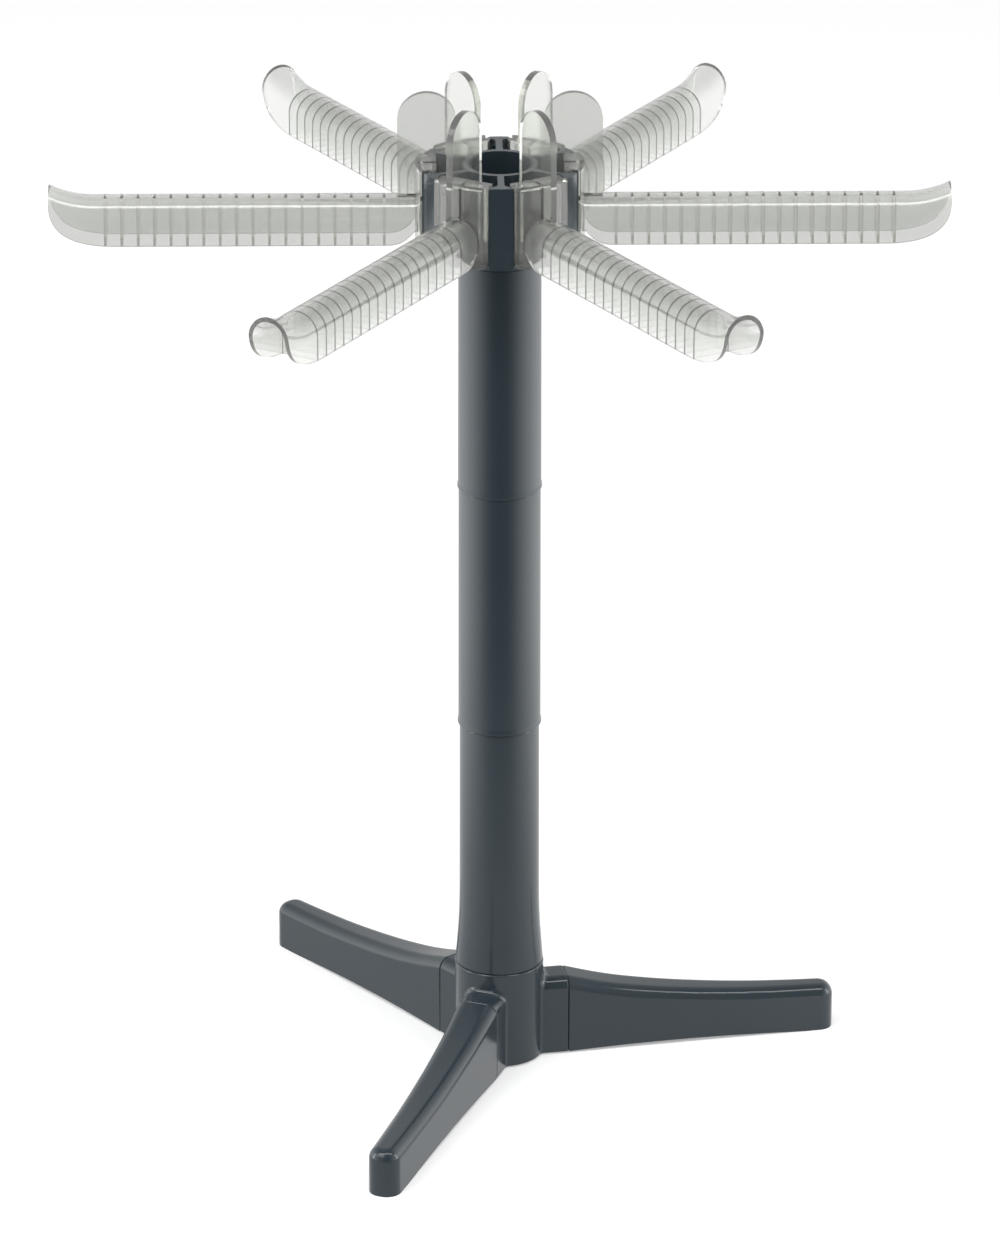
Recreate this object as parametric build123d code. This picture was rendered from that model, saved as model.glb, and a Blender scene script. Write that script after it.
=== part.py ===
from build123d import *
import os
from math import asin, cos, degrees, radians, sin, tan

# Free-standing drying rack: a three-legged base, a plug-together column and a slotted head
# that holds six clear arms. Lengths are millimetres, the column stands on the Z axis, and
# the feet touch z = 0. One arm points along +X.

# Counts and turns in degrees
arm_count = 6
leg_count = 3
first_leg_turn = 9.6
arm_names = ["right", "rear_right", "rear_left", "left", "front_left", "front_right"]
leg_names = ["right", "rear", "front"]

# Heights of the stack
hub_foot_height = 0.8
hub_length = 46.6
lower_length = 119.8
middle_length = 115.4
upper_length = 108.75
head_length = 44.8

# Column tubes
column_bore_radius = 16.0
upper_top_radius = 18.6
section_foot_radius = 18.85
lip_flare = 0.35
lip_height = 3.0
trumpet_top_radius = 18.25
trumpet_waist_radius = 18.5
trumpet_low_radius = 19.0
trumpet_rim_radius = 19.9
trumpet_foot_radius = 20.3
trumpet_waist_height = 66.0
trumpet_low_height = 18.0
trumpet_rim_height = 6.0
rim_break = 0.5

# Spigots that plug each piece into the one above
spigot_length = 14.0
spigot_wall = 2.1
spigot_neck = 4.0
spigot_lead = 1.0
fit_clearance = 0.1

# Base hub
hub_radius = 20.6
hub_wall = 2.8
hub_deck = 3.0
stub_reach = 31.2
stub_flare = 3.0
flare_room_share = 0.9
seam_break = 0.5
tongue_length = 16.0
tongue_wall = 2.0
tongue_clearance = 0.2
tongue_foot = 2.0

# Legs
leg_reach = 159.0
leg_root_width = 20.0
leg_tip_width = 14.5
leg_wall = 2.4
leg_root_height = 38.0
leg_tip_height = 21.8
leg_edge_radius = 5.5
leg_tip_round_share = 0.46
foot_length = 15.0
arch_rise = 1.8
leg_rib_thickness = 1.8
leg_rib_count = 3
# Height of the leg's back above the tip height, as shares of the root's extra height, at
# even steps from the root to the tip
leg_back_shares = [1.0, 0.64, 0.4, 0.23, 0.11, 0.04, 0.0]

# Head
post_radius = 18.6
flange_outer_radius = 36.9
flange_thickness = 3.0
flange_width = 11.4
flange_corner = 2.0
web_thickness = 3.0
web_flare = 3.0
floor_thickness = 2.0
neck_length = 7.05

# Shoe of an arm, which slides down into the head
slot_clearance = 0.3
web_gap = 2.4
shoe_back = 28.3
panel_radius = 37.8
panel_thickness = 2.6
panel_drop = 1.9
panel_corner = 3.5
shoe_wall = 2.0
shoe_deck = 2.3
shoe_height = 36.2

# Bar of an arm
arm_reach = 200.0
bar_width = 19.8
bar_height = 20.9
bar_wall = 1.9
bar_ridge_drop = 14.9
lip_rise = 4.7
lip_length = 20.0
prow_length = 29.5
prow_height = 19.0
prow_foot_share = 0.34
prow_front_share = 0.32
root_relief_length = 13.0
root_relief_height = 6.5
relief_start_share = 0.33
relief_drop_share = 0.25
relief_end_share = 0.5
diaphragm_pitch = 7.27
diaphragm_thickness = 1.2
first_diaphragm_inset = 25.0
last_diaphragm_gap = 12.0

# Finger tab of an arm, whose inner part runs on down the slot as a fin
tab_inner_radius = 19.4
tab_width = 26.1
tab_thickness = 3.2
tab_height = 32.4
tab_sink = 3.3
tab_edge_break = 0.5

# Every cut runs past the material by this much, and forms of one piece reach into each
# other by the weld
overrun = 2.0
weld = 0.1

# Heights worked out from the stack
hub_top = hub_foot_height + hub_length
lower_top = hub_top + lower_length
middle_top = lower_top + middle_length
upper_top = middle_top + upper_length
head_top = upper_top + head_length
floor_low = upper_top + neck_length
seat = floor_low + floor_thickness
spigot_radius = column_bore_radius - fit_clearance
spigot_bore_radius = spigot_radius - spigot_wall
flange_inner_radius = flange_outer_radius - flange_thickness
shoe_top = seat + shoe_height
ridge = shoe_top - bar_ridge_drop
bar_bottom = ridge - bar_height


def arm_turn(index):
    """Azimuth of an arm in degrees."""
    return index * 360 / arm_count


def leg_turn(index):
    """Azimuth of a leg in degrees."""
    return first_leg_turn + index * 360 / leg_count


def turned(edges):
    """Solid of revolution about Z from edges drawn as radius and height."""
    return revolve(Plane.XZ * make_face(edges), Axis.Z)


def disc(radius, low, high):
    """Solid cylinder about Z."""
    return Pos(0, 0, low) * extrude(Circle(radius), high - low)


def tube(outer_radius, inner_radius, low, high):
    """Straight tube about Z."""
    return Pos(0, 0, low) * extrude(Circle(outer_radius) - Circle(inner_radius), high - low)


def side_plate(outline, thickness):
    """Plate in the XZ plane from a closed outline, centred across Y."""
    return extrude(Plane.XZ * make_face(outline), thickness / 2, both=True)


def inner_wall(foot, top):
    """Radius and height points of a section from its spigot's rim back to its foot."""
    spigot_rim = top + spigot_length
    return [
        (spigot_radius, top),
        (spigot_radius, spigot_rim - spigot_lead),
        (spigot_radius - spigot_lead, spigot_rim),
        (spigot_bore_radius, spigot_rim),
        (spigot_bore_radius, top - spigot_neck),
        (column_bore_radius, top - spigot_neck),
        (column_bore_radius, foot),
    ]


def plain_section(foot, top):
    """Column tube with a slight draft, a flared lip at its foot and a spigot on top."""
    lip_radius = section_foot_radius + lip_flare
    points = [
        (lip_radius - rim_break, foot),
        (lip_radius, foot + rim_break),
        (lip_radius, foot + lip_height / 2),
        (section_foot_radius, foot + lip_height),
        (upper_top_radius, top - rim_break),
        (upper_top_radius - rim_break, top),
    ]
    return turned(Polyline(*points, *inner_wall(foot, top), close=True))


def trumpet_section(foot, top):
    """Lowest column tube, which widens in a soft curve towards the base."""
    outside = Spline(
        (trumpet_foot_radius, foot + rim_break),
        (trumpet_rim_radius, foot + trumpet_rim_height),
        (trumpet_low_radius, foot + trumpet_low_height),
        (trumpet_waist_radius, foot + trumpet_waist_height),
        (trumpet_top_radius, top - rim_break),
    )
    shoulder = (trumpet_top_radius - rim_break, top)
    rest = Polyline(
        outside @ 1,
        shoulder,
        *inner_wall(foot, top),
        (trumpet_foot_radius - rim_break, foot),
        outside @ 0,
    )
    return turned([outside, rest])


def leg_back(start, end):
    """Curve of the leg's back from one radius to another, in radius and height."""
    extra = leg_root_height - leg_tip_height
    steps = len(leg_back_shares) - 1
    points = [
        (start + (end - start) * step / steps, leg_tip_height + extra * share)
        for step, share in enumerate(leg_back_shares)
    ]
    return Spline(*points)


def leg_plan(start, end, inset):
    """Plan of a leg's straight taper between two radii, drawn in by a wall."""
    taper = (leg_tip_width - leg_root_width) / 2 / (leg_reach - stub_reach)
    near = leg_root_width / 2 - inset + taper * (start - stub_reach)
    far = leg_root_width / 2 - inset + taper * (end - stub_reach)
    return Polygon((start, -near), (end, -far), (end, far), (start, near), align=None)


def leg_block(start, end, inset, low, high):
    """Block of a leg's taper between two radii and two heights."""
    return Pos(0, 0, low) * extrude(leg_plan(start, end, inset), high - low)


def leg_body():
    """Outer form of a leg along +X: falling back, arched underside and round end."""
    back = leg_back(stub_reach, leg_reach)
    arch_end = leg_reach - foot_length
    underside = ThreePointArc(
        (arch_end, 0), ((stub_reach + arch_end) / 2, arch_rise), (stub_reach, hub_foot_height)
    )
    outline = [
        back,
        Line(back @ 1, (leg_reach, 0)),
        Line((leg_reach, 0), underside @ 0),
        underside,
        Line(underside @ 1, back @ 0),
    ]
    side = side_plate(outline, leg_root_width)
    plan = leg_plan(stub_reach, leg_reach, 0)
    corners = plan.vertices().group_by(Axis.X)[-1]
    plan = fillet(corners, leg_tip_width * leg_tip_round_share)
    body = side & extrude(plan, leg_root_height)
    body = fillet(body.edges().filter_by(is_back_edge), leg_edge_radius)
    return chamfer(body.faces().sort_by(Axis.X)[0].edges(), seam_break)


def is_back_edge(edge):
    """True for the edges that bound the leg's back along its sides and round its tip."""
    middle = edge @ 0.5
    return middle.Z > leg_tip_height - leg_edge_radius and middle.X > stub_reach + rim_break


def leg_cavity():
    """Hollow of a leg, open below and at the root, up to the solid foot."""
    start = stub_reach - overrun
    end = leg_reach - foot_length
    back = leg_back(stub_reach, leg_reach).moved(Location((0, -leg_wall)))
    outline = [
        back,
        Line(back @ 1, (leg_reach, -overrun)),
        Line((leg_reach, -overrun), (start, -overrun)),
        Line((start, -overrun), (start, leg_root_height - leg_wall)),
        Line((start, leg_root_height - leg_wall), back @ 0),
    ]
    hollow = side_plate(outline, leg_root_width)
    hollow &= leg_block(start, end, leg_wall, -overrun, leg_root_height)
    rib_span = end - stub_reach - tongue_length
    for index in range(leg_rib_count):
        place = stub_reach + tongue_length + rib_span * (index + 0.5) / leg_rib_count
        rib = Pos(place, 0, leg_root_height / 2) * Box(
            leg_rib_thickness, leg_root_width, leg_root_height
        )
        hollow -= rib
    return hollow


def make_leg(index):
    """One leg, turned to its place on the base."""
    return Rot(0, 0, leg_turn(index)) * (leg_body() - leg_cavity())


def make_stub():
    """Stub along +X that continues a leg's form up to the hub, with its seam broken."""
    height = leg_root_height - hub_foot_height
    face = Pos(0, hub_foot_height + height / 2) * Rectangle(leg_root_width, height)
    face = fillet(face.vertices().group_by(Axis.Y)[-1], leg_edge_radius)
    stub = extrude(Plane.YZ * face, stub_reach)
    return chamfer(stub.faces().sort_by(Axis.X)[-1].edges(), seam_break)


def is_stub_root(edge):
    """True for the edges where a stub meets the round of the hub."""
    middle = edge @ 0.5
    on_round = abs(Vector(middle.X, middle.Y).length - hub_radius) < rim_break / 2
    return on_round and hub_foot_height < middle.Z < leg_root_height + rim_break / 2


def flare_radius():
    """Radius of the flare at a stub's root, within the wall between the stub and the rim."""
    return min(stub_flare, (hub_top - rim_break - leg_root_height) * flare_room_share)


def hub_shell():
    """Hub cup, open below, into which the three stubs flow with a flare."""
    shell = disc(hub_radius, hub_foot_height, hub_top)
    shell = chamfer(shell.edges().group_by(Axis.Z)[-1], rim_break)
    for index in range(leg_count):
        shell += Rot(0, 0, leg_turn(index)) * make_stub()
    shell = fillet(shell.edges().filter_by(is_stub_root), flare_radius())
    return shell - disc(hub_radius - hub_wall, -overrun, hub_top - hub_deck)


def hub_spigot():
    """Spigot on the hub, with a lead at its rim."""
    rim = hub_top + spigot_length
    spigot = disc(spigot_radius, hub_top - weld, rim)
    return chamfer(spigot.edges().group_by(Axis.Z)[-1], spigot_lead)


def make_tongue():
    """Tongue along +X that plugs into the hollow leg."""
    end = stub_reach + tongue_length
    top = leg_height_at(end + tongue_wall) - leg_wall - tongue_clearance
    tongue = leg_block(0, end, leg_wall + tongue_clearance, tongue_foot, top)
    return tongue - disc(hub_radius, -overrun, top + overrun)


def stub_core():
    """Hollow below a stub and its tongue."""
    end = stub_reach + tongue_length - tongue_wall
    top = leg_height_at(stub_reach + tongue_length) - leg_wall - tongue_clearance - tongue_wall
    core = leg_block(0, end, leg_wall + tongue_clearance + tongue_wall, -overrun, top)
    return core - disc(hub_radius - hub_wall / 2, -overrun, top + overrun)


def make_base_hub():
    """Hub with three stubs and tongues for the legs and a spigot for the column."""
    hub = hub_shell() + hub_spigot()
    hub -= disc(spigot_bore_radius, hub_foot_height, hub_top + spigot_length + overrun)
    for index in range(leg_count):
        turn = Rot(0, 0, leg_turn(index))
        hub += turn * make_tongue()
        hub -= turn * stub_core()
    return hub


def leg_height_at(radius):
    """Height of the leg's back at a radius, read from the even steps of its shares."""
    extra = leg_root_height - leg_tip_height
    steps = len(leg_back_shares) - 1
    place = (radius - stub_reach) / (leg_reach - stub_reach) * steps
    step = min(int(place), steps - 1)
    low, high = leg_back_shares[step], leg_back_shares[step + 1]
    return leg_tip_height + extra * (low + (high - low) * (place - step))


def rib_turn(index):
    """Azimuth of a rib of the head, midway between two arms."""
    return arm_turn(index) + 180 / arm_count


def make_rib():
    """T rib along +X, whose web flares softly into its flange."""
    web_start = (column_bore_radius + post_radius) / 2
    flange_middle = flange_inner_radius + flange_thickness / 2
    flange = Circle(flange_outer_radius) - Circle(flange_inner_radius)
    flange &= Pos(flange_outer_radius, 0) * Rectangle(flange_outer_radius, flange_width)
    web = Pos((web_start + flange_middle) / 2, 0) * Rectangle(flange_middle - web_start, web_thickness)
    plan = flange + web
    roots = [
        vertex for vertex in plan.vertices()
        if vertex.X > flange_inner_radius - web_thickness and abs(vertex.Y) < web_thickness
    ]
    plan = fillet(roots, web_flare)
    rib = Pos(0, 0, floor_low) * extrude(plan, head_top - floor_low)
    outline = Rectangle(flange_width, head_top - floor_low)
    outline = fillet(outline.vertices().group_by(Axis.Y)[-1], flange_corner)
    window = extrude(Plane.YZ * Pos(0, (floor_low + head_top) / 2) * outline, 2 * flange_outer_radius)
    return rib & window


def make_head():
    """Post with six T ribs and a floor, which form the slots for the arms."""
    head = tube(post_radius, column_bore_radius, upper_top, head_top)
    floor_radius = panel_radius - panel_thickness - slot_clearance
    head += tube(floor_radius, post_radius - weld, floor_low, seat)
    rib = make_rib()
    for index in range(arm_count):
        head += Rot(0, 0, rib_turn(index)) * rib
    return head


def arm_sector(reach):
    """Wedge along +X that an arm has to itself, between the ribs on its two sides."""
    half_turn = radians(180 / arm_count)
    far = reach / cos(half_turn)
    side = far * tan(half_turn)
    return Polygon((0, 0), (far, -side), (far, side), align=None)


def shoe_plan(inset):
    """Plan of the shoe along +X between two T ribs, drawn in from its outside by a wall."""
    outer = panel_radius - (panel_thickness if inset else 0)
    back = shoe_back + inset
    hook = flange_inner_radius - slot_clearance - inset
    face = arm_sector(outer) & Circle(outer)
    face &= Pos(back + outer / 2, 0) * Rectangle(outer, 2 * outer)
    rim = Circle(outer) - Circle(hook)
    for side in (-1, 1):
        way = Rot(0, 0, side * 180 / arm_count) * Pos(outer / 2, 0)
        face -= way * Rectangle(outer, web_thickness + 2 * (web_gap + inset))
        face -= rim & way * Rectangle(outer, flange_width + 2 * (slot_clearance + inset))
    return face


def shoe_panel():
    """Outer panel of the shoe, which hangs past the floor and has round lower corners."""
    low = seat - panel_drop
    plan = shoe_plan(0) - Circle(panel_radius - panel_thickness)
    panel = Pos(0, 0, low) * extrude(plan, shoe_top - low)
    side_turn = radians(180 / arm_count) - asin(panel_side() / panel_radius)
    width = 2 * panel_radius * sin(side_turn)
    height = shoe_top - low + panel_corner
    frame = Pos(panel_radius, 0, low + height / 2) * Box(panel_radius, width, height)
    corners = frame.edges().filter_by(Axis.X).group_by(Axis.Z)[0]
    return panel & fillet(corners, panel_corner)


def make_shoe():
    """Closed-top shoe whose outer panel fills the window between two flanges."""
    block = Pos(0, 0, seat) * extrude(shoe_plan(0), shoe_height)
    block -= tube(panel_radius + overrun, panel_radius - panel_thickness, 0, shoe_top + overrun)
    depth = shoe_height + overrun - shoe_deck
    hollow = Pos(0, 0, seat - overrun) * extrude(shoe_plan(shoe_wall), depth)
    return block + shoe_panel() - hollow


def panel_side():
    """Distance of the panel's side from the centre line of the rib beside it."""
    return flange_width / 2 + slot_clearance


def arch_face(width, height, drop):
    """Section of the bar in the YZ plane: round back, straight sides, flat foot."""
    radius = width / 2
    top = ridge - drop
    spring = top - radius
    back = ThreePointArc((-radius, spring), (0, top), (radius, spring))
    foot = top - height
    sides = Polyline(back @ 1, (radius, foot), (-radius, foot), back @ 0)
    return Plane.YZ * make_face([back, sides])


def arch_bar(width, height, drop, start):
    """Bar of that section along +X that sweeps upward at its end."""
    bend = (lip_length ** 2 + lip_rise ** 2) / (2 * lip_rise)
    bend_start = arm_reach - lip_length
    section = arch_face(width, height, drop)
    straight = extrude(Pos(start, 0, 0) * section, bend_start - start)
    pivot = Axis((bend_start, 0, ridge + bend), (0, -1, 0))
    sweep_turn = degrees(asin((lip_length + overrun) / bend))
    return straight + revolve(Pos(bend_start, 0, 0) * section, pivot, sweep_turn)


def bar_side_outline(start):
    """Side view of the bar: relieved root, level foot edge and curved prow."""
    prow_start = arm_reach - prow_length
    relief_end = panel_radius + root_relief_length
    relief_top = bar_bottom + root_relief_height
    top = ridge + lip_rise + overrun
    prow = Bezier(
        (prow_start, bar_bottom),
        (arm_reach - prow_length * prow_foot_share, bar_bottom),
        (arm_reach, bar_bottom + prow_height * prow_front_share),
        (arm_reach, bar_bottom + prow_height),
    )
    relief = Bezier(
        (panel_radius, relief_top),
        (
            panel_radius + root_relief_length * relief_start_share,
            bar_bottom + root_relief_height * relief_drop_share,
        ),
        (panel_radius + root_relief_length * relief_end_share, bar_bottom),
        (relief_end, bar_bottom),
    )
    return [
        relief,
        Line(relief @ 1, prow @ 0),
        prow,
        Line(prow @ 1, (arm_reach, top)),
        Line((arm_reach, top), (start, top)),
        Line((start, top), (start, relief_top)),
        Line((start, relief_top), relief @ 0),
    ]


def make_bar():
    """Channel open below and at its end, stiffened by a row of diaphragms."""
    start = panel_radius - panel_thickness + weld
    outside = arch_bar(bar_width, bar_height + overrun, 0, start)
    outside &= side_plate(bar_side_outline(start), bar_width + overrun)
    inner_width = bar_width - 2 * bar_wall
    hollow = arch_bar(inner_width, bar_height + 2 * overrun, bar_wall, start - overrun)
    place = arm_reach - first_diaphragm_inset
    while place > panel_radius + last_diaphragm_gap:
        web = Pos(place, 0, ridge - bar_height / 2)
        hollow -= web * Box(diaphragm_thickness, bar_width, bar_height + 2 * overrun + bar_width)
        place -= diaphragm_pitch
    return outside - hollow


def make_tab():
    """Finger tab with a round top, over the bar's ridge and down the slot as a fin."""
    outer = tab_inner_radius + tab_width
    top = shoe_top + tab_height
    spring = top - tab_width / 2
    cap = ThreePointArc((outer, spring), (outer - tab_width / 2, top), (tab_inner_radius, spring))
    deck = shoe_top - shoe_deck / 2
    back = shoe_back + shoe_wall / 2
    panel_inside = panel_radius - panel_thickness / 2
    rest = Polyline(
        cap @ 1,
        (tab_inner_radius, seat),
        (back, seat),
        (back, deck),
        (panel_inside, deck),
        (panel_inside, ridge - tab_sink),
        (outer, ridge - tab_sink),
        cap @ 0,
    )
    tab = side_plate([cap, rest], tab_thickness)
    rim = tab.edges().filter_by(GeomType.CIRCLE)
    return chamfer(rim, tab_edge_break)


def make_arm(index):
    """One clear arm: shoe, bar and tab moulded in one piece."""
    return Rot(0, 0, arm_turn(index)) * (make_shoe() + make_bar() + make_tab())


def save(shape, name):
    """Write one piece as a STEP file."""
    export_step(shape, os.path.join("parts", name + ".step"))


def main():
    """Build every piece in its place and write it."""
    os.makedirs("parts", exist_ok=True)
    save(make_base_hub(), "base_hub")
    for index, name in enumerate(leg_names):
        save(make_leg(index), "leg_" + name)
    save(trumpet_section(hub_top, lower_top), "column_lower")
    save(plain_section(lower_top, middle_top), "column_middle")
    save(plain_section(middle_top, upper_top), "column_upper")
    save(make_head(), "head")
    for index, name in enumerate(arm_names):
        save(make_arm(index), "arm_" + name)


main()
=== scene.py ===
"""Looks of a plug-together drying rack with six clear arms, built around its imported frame."""

import logging
from collections.abc import Callable, Sequence
from dataclasses import dataclass
from enum import Enum
from math import acos, asin, atan2, cos, pi, radians, sin, sqrt

import bmesh
import bpy
from mathutils import Matrix, Vector


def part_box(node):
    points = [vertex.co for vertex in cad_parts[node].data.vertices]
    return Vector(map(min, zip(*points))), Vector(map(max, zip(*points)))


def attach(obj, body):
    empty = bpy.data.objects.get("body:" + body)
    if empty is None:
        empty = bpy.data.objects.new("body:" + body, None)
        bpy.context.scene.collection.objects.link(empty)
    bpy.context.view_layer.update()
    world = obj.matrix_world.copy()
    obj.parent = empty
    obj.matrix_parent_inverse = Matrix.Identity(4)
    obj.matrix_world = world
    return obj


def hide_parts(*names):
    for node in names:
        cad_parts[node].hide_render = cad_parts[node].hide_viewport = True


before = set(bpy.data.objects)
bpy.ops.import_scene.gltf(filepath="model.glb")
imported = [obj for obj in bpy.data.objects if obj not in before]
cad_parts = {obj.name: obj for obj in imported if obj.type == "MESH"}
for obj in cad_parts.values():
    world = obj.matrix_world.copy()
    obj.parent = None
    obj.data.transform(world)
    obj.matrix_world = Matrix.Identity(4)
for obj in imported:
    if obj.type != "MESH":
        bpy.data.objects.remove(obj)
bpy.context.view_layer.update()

LOG = logging.getLogger("drying_rack")
MM = 0.001
TINY = MM / 100
FULL_TURN = 2 * pi
ROUND_STEPS = 120
Point = tuple[float, float]


class Carving(Enum):
    """How one blank works on another."""

    REMOVE = "DIFFERENCE"
    JOIN = "UNION"
    KEEP = "INTERSECT"


class Part(Enum):
    """Body that a piece rides on, which is also the node that it replaces."""

    HUB = "base_hub"
    LOWER = "column_lower"
    MIDDLE = "column_middle"
    UPPER = "column_upper"
    HEAD = "head"


class Slot(Enum):
    """Material slots of the rack."""

    DARK = "dark_plastic"
    CLEAR = "clear_plastic"


def arc(radius: float, start: float, end: float, steps: int, centre: Point = (0, 0)) -> list[Point]:
    """Points along a round stretch of an outline.

    Args:
        radius: Radius in metres.
        start: First angle in radians.
        end: Last angle in radians.
        steps: Number of chords.
        centre: Centre of the arc.

    Returns:
        The points, first and last included.
    """
    turns = [start + (end - start) * step / steps for step in range(steps + 1)]
    return [(centre[0] + radius * cos(turn), centre[1] + radius * sin(turn)) for turn in turns]


def bezier(corners: Sequence[Point], steps: int) -> list[Point]:
    """Points along a cubic curve.

    Args:
        corners: The curve's four control points.
        steps: Number of chords.

    Returns:
        The points, first and last included.
    """
    places = [step / steps for step in range(steps + 1)]
    weights = [((1 - t) ** 3, 3 * t * (1 - t) ** 2, 3 * t * t * (1 - t), t ** 3) for t in places]
    return [
        tuple(sum(weight * corner[axis] for weight, corner in zip(row, corners)) for axis in (0, 1))
        for row in weights
    ]


def through(knots: Sequence[Point], steps: int) -> list[Point]:
    """Smooth curve through knots whose first coordinate rises.

    Args:
        knots: Points that the curve passes.
        steps: Number of chords between two knots.

    Returns:
        The points, first and last included.
    """
    spans = [(b[0] - a[0], (b[1] - a[1]) / (b[0] - a[0])) for a, b in zip(knots, knots[1:])]
    inner = [(s * w + t * v) / (v + w) for (v, s), (w, t) in zip(spans, spans[1:])]
    slopes = [(3 * spans[0][1] - inner[0]) / 2, *inner, (3 * spans[-1][1] - inner[-1]) / 2]
    points = [knots[0]]
    for (x, y), (far, high), (width, _), start, end in zip(knots, knots[1:], spans, slopes, slopes[1:]):
        third = width / 3
        corners = [
            (x, y), (x + third, y + start * third), (far - third, high - end * third), (far, high)
        ]
        points += bezier(corners, steps)[1:]
    return points


class Blank:
    """A solid in the making, which other solids carve, join or trim."""

    WELD = MM / 1000
    CLEANING = MM / 50
    FLAT_TURN = radians(0.5)
    SHARP_TURN = radians(32)
    BREAK_STEPS = 2

    def __init__(self, mesh: bmesh.types.BMesh) -> None:
        """Takes a bmesh over as the blank's form.

        Args:
            mesh: The bmesh, which is used up.
        """
        bmesh.ops.remove_doubles(mesh, verts=mesh.verts[:], dist=self.WELD)
        bmesh.ops.recalc_face_normals(mesh, faces=mesh.faces[:])
        data = bpy.data.meshes.new("blank")
        mesh.to_mesh(data)
        mesh.free()
        self.body = bpy.data.objects.new("blank", data)
        bpy.context.scene.collection.objects.link(self.body)

    @classmethod
    def extruded(cls, corners: Sequence[tuple], push: tuple[float, float, float]) -> "Blank":
        """Solid that a flat face sweeps as it is pushed.

        Args:
            corners: Corners of the face.
            push: The way that the face goes.

        Returns:
            The solid.
        """
        mesh = bmesh.new()
        face = mesh.faces.new([mesh.verts.new(corner) for corner in corners])
        grown = bmesh.ops.extrude_face_region(mesh, geom=[face])["geom"]
        pushed = [item for item in grown if isinstance(item, bmesh.types.BMVert)]
        bmesh.ops.translate(mesh, verts=pushed, vec=push)
        return cls(mesh)

    @classmethod
    def prism(cls, outline: Sequence[Point], low: float, high: float) -> "Blank":
        """Upright prism on a plan in X and Y."""
        return cls.extruded([(x, y, low) for x, y in outline], (0, 0, high - low))

    @classmethod
    def plate(cls, outline: Sequence[Point], thickness: float) -> "Blank":
        """Plate with a side view in X and Z, centred across Y."""
        return cls.extruded([(x, -thickness / 2, z) for x, z in outline], (0, thickness, 0))

    @classmethod
    def turned(cls, profile: Sequence[Point]) -> "Blank":
        """Solid of revolution about Z.

        Args:
            profile: Closed outline as radius and height, clear of the axis.

        Returns:
            The turned solid.
        """
        mesh = bmesh.new()
        corners = [mesh.verts.new((radius, 0, height)) for radius, height in profile]
        edges = [mesh.edges.new((corner, corners[index - 1])) for index, corner in enumerate(corners)]
        bmesh.ops.spin(
            mesh, geom=corners + edges, cent=(0, 0, 0), axis=(0, 0, 1), dvec=(0, 0, 0),
            angle=FULL_TURN, steps=ROUND_STEPS, use_merge=True, use_duplicate=False,
        )
        return cls(mesh)

    @classmethod
    def lofted(cls, rows: Sequence[Sequence[Vector]], flat_end: bool = False) -> "Blank":
        """Solid with a skin over rings of points, each ring even from side to side.

        Args:
            rows: The rings, which the skin passes in turn.
            flat_end: Whether the last ring lies in a plane.

        Returns:
            The solid.
        """
        mesh = bmesh.new()
        grid = [[mesh.verts.new(place) for place in row] for row in rows]
        for left, right in zip(grid, grid[1:]):
            for index in range(len(left)):
                following = (index + 1) % len(left)
                mesh.faces.new((left[index], left[following], right[following], right[index]))
        if flat_end:
            mesh.faces.new(grid[-1])
        for row in grid[:1] if flat_end else (grid[0], grid[-1]):
            for index in range(len(row) // 2 - 1):
                mesh.faces.new((row[index], row[index + 1], row[-index - 2], row[-index - 1]))
        return cls(mesh)

    @classmethod
    def ring(cls, outer: float, inner: float, low: float, high: float) -> "Blank":
        """Straight tube about Z."""
        return cls.turned([(outer, low), (outer, high), (inner, high), (inner, low)])

    @classmethod
    def drum(cls, radius: float, low: float, high: float) -> "Blank":
        """Solid cylinder about Z."""
        return cls.prism(arc(radius, 0, FULL_TURN, ROUND_STEPS)[:-1], low, high)

    @classmethod
    def slab(cls, start: float, end: float, width: float, low: float, high: float) -> "Blank":
        """Block along +X, centred across Y."""
        half = width / 2
        return cls.prism([(start, -half), (end, -half), (end, half), (start, half)], low, high)

    def work(self, tool: "Blank", carving: Carving) -> "Blank":
        """Works another blank on this one and uses it up.

        Args:
            tool: The other blank.
            carving: What the other blank does.

        Returns:
            This blank, so that steps can be chained.
        """
        step = self.body.modifiers.new(carving.name.lower(), "BOOLEAN")
        step.operation = carving.value
        step.solver = "EXACT"
        step.object = tool.body
        graph = bpy.context.evaluated_depsgraph_get()
        result = bpy.data.meshes.new_from_object(self.body.evaluated_get(graph))
        self.body.modifiers.remove(step)
        spent = self.body.data
        self.body.data = result
        bpy.data.meshes.remove(spent)
        tool.discard()
        return self

    def cut(self, tool: "Blank") -> "Blank":
        """Removes another blank from this one."""
        return self.work(tool, Carving.REMOVE)

    def join(self, tool: "Blank") -> "Blank":
        """Adds another blank to this one."""
        return self.work(tool, Carving.JOIN)

    def keep(self, tool: "Blank") -> "Blank":
        """Keeps what this blank shares with another."""
        return self.work(tool, Carving.KEEP)

    def turn(self, degrees: float) -> "Blank":
        """Turns the blank about Z."""
        self.body.data.transform(Matrix.Rotation(radians(degrees), 4, "Z"))
        return self

    def copy(self) -> "Blank":
        """Another blank of the same form.

        Returns:
            The other blank.
        """
        mesh = bmesh.new()
        mesh.from_mesh(self.body.data)
        return Blank(mesh)

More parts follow.
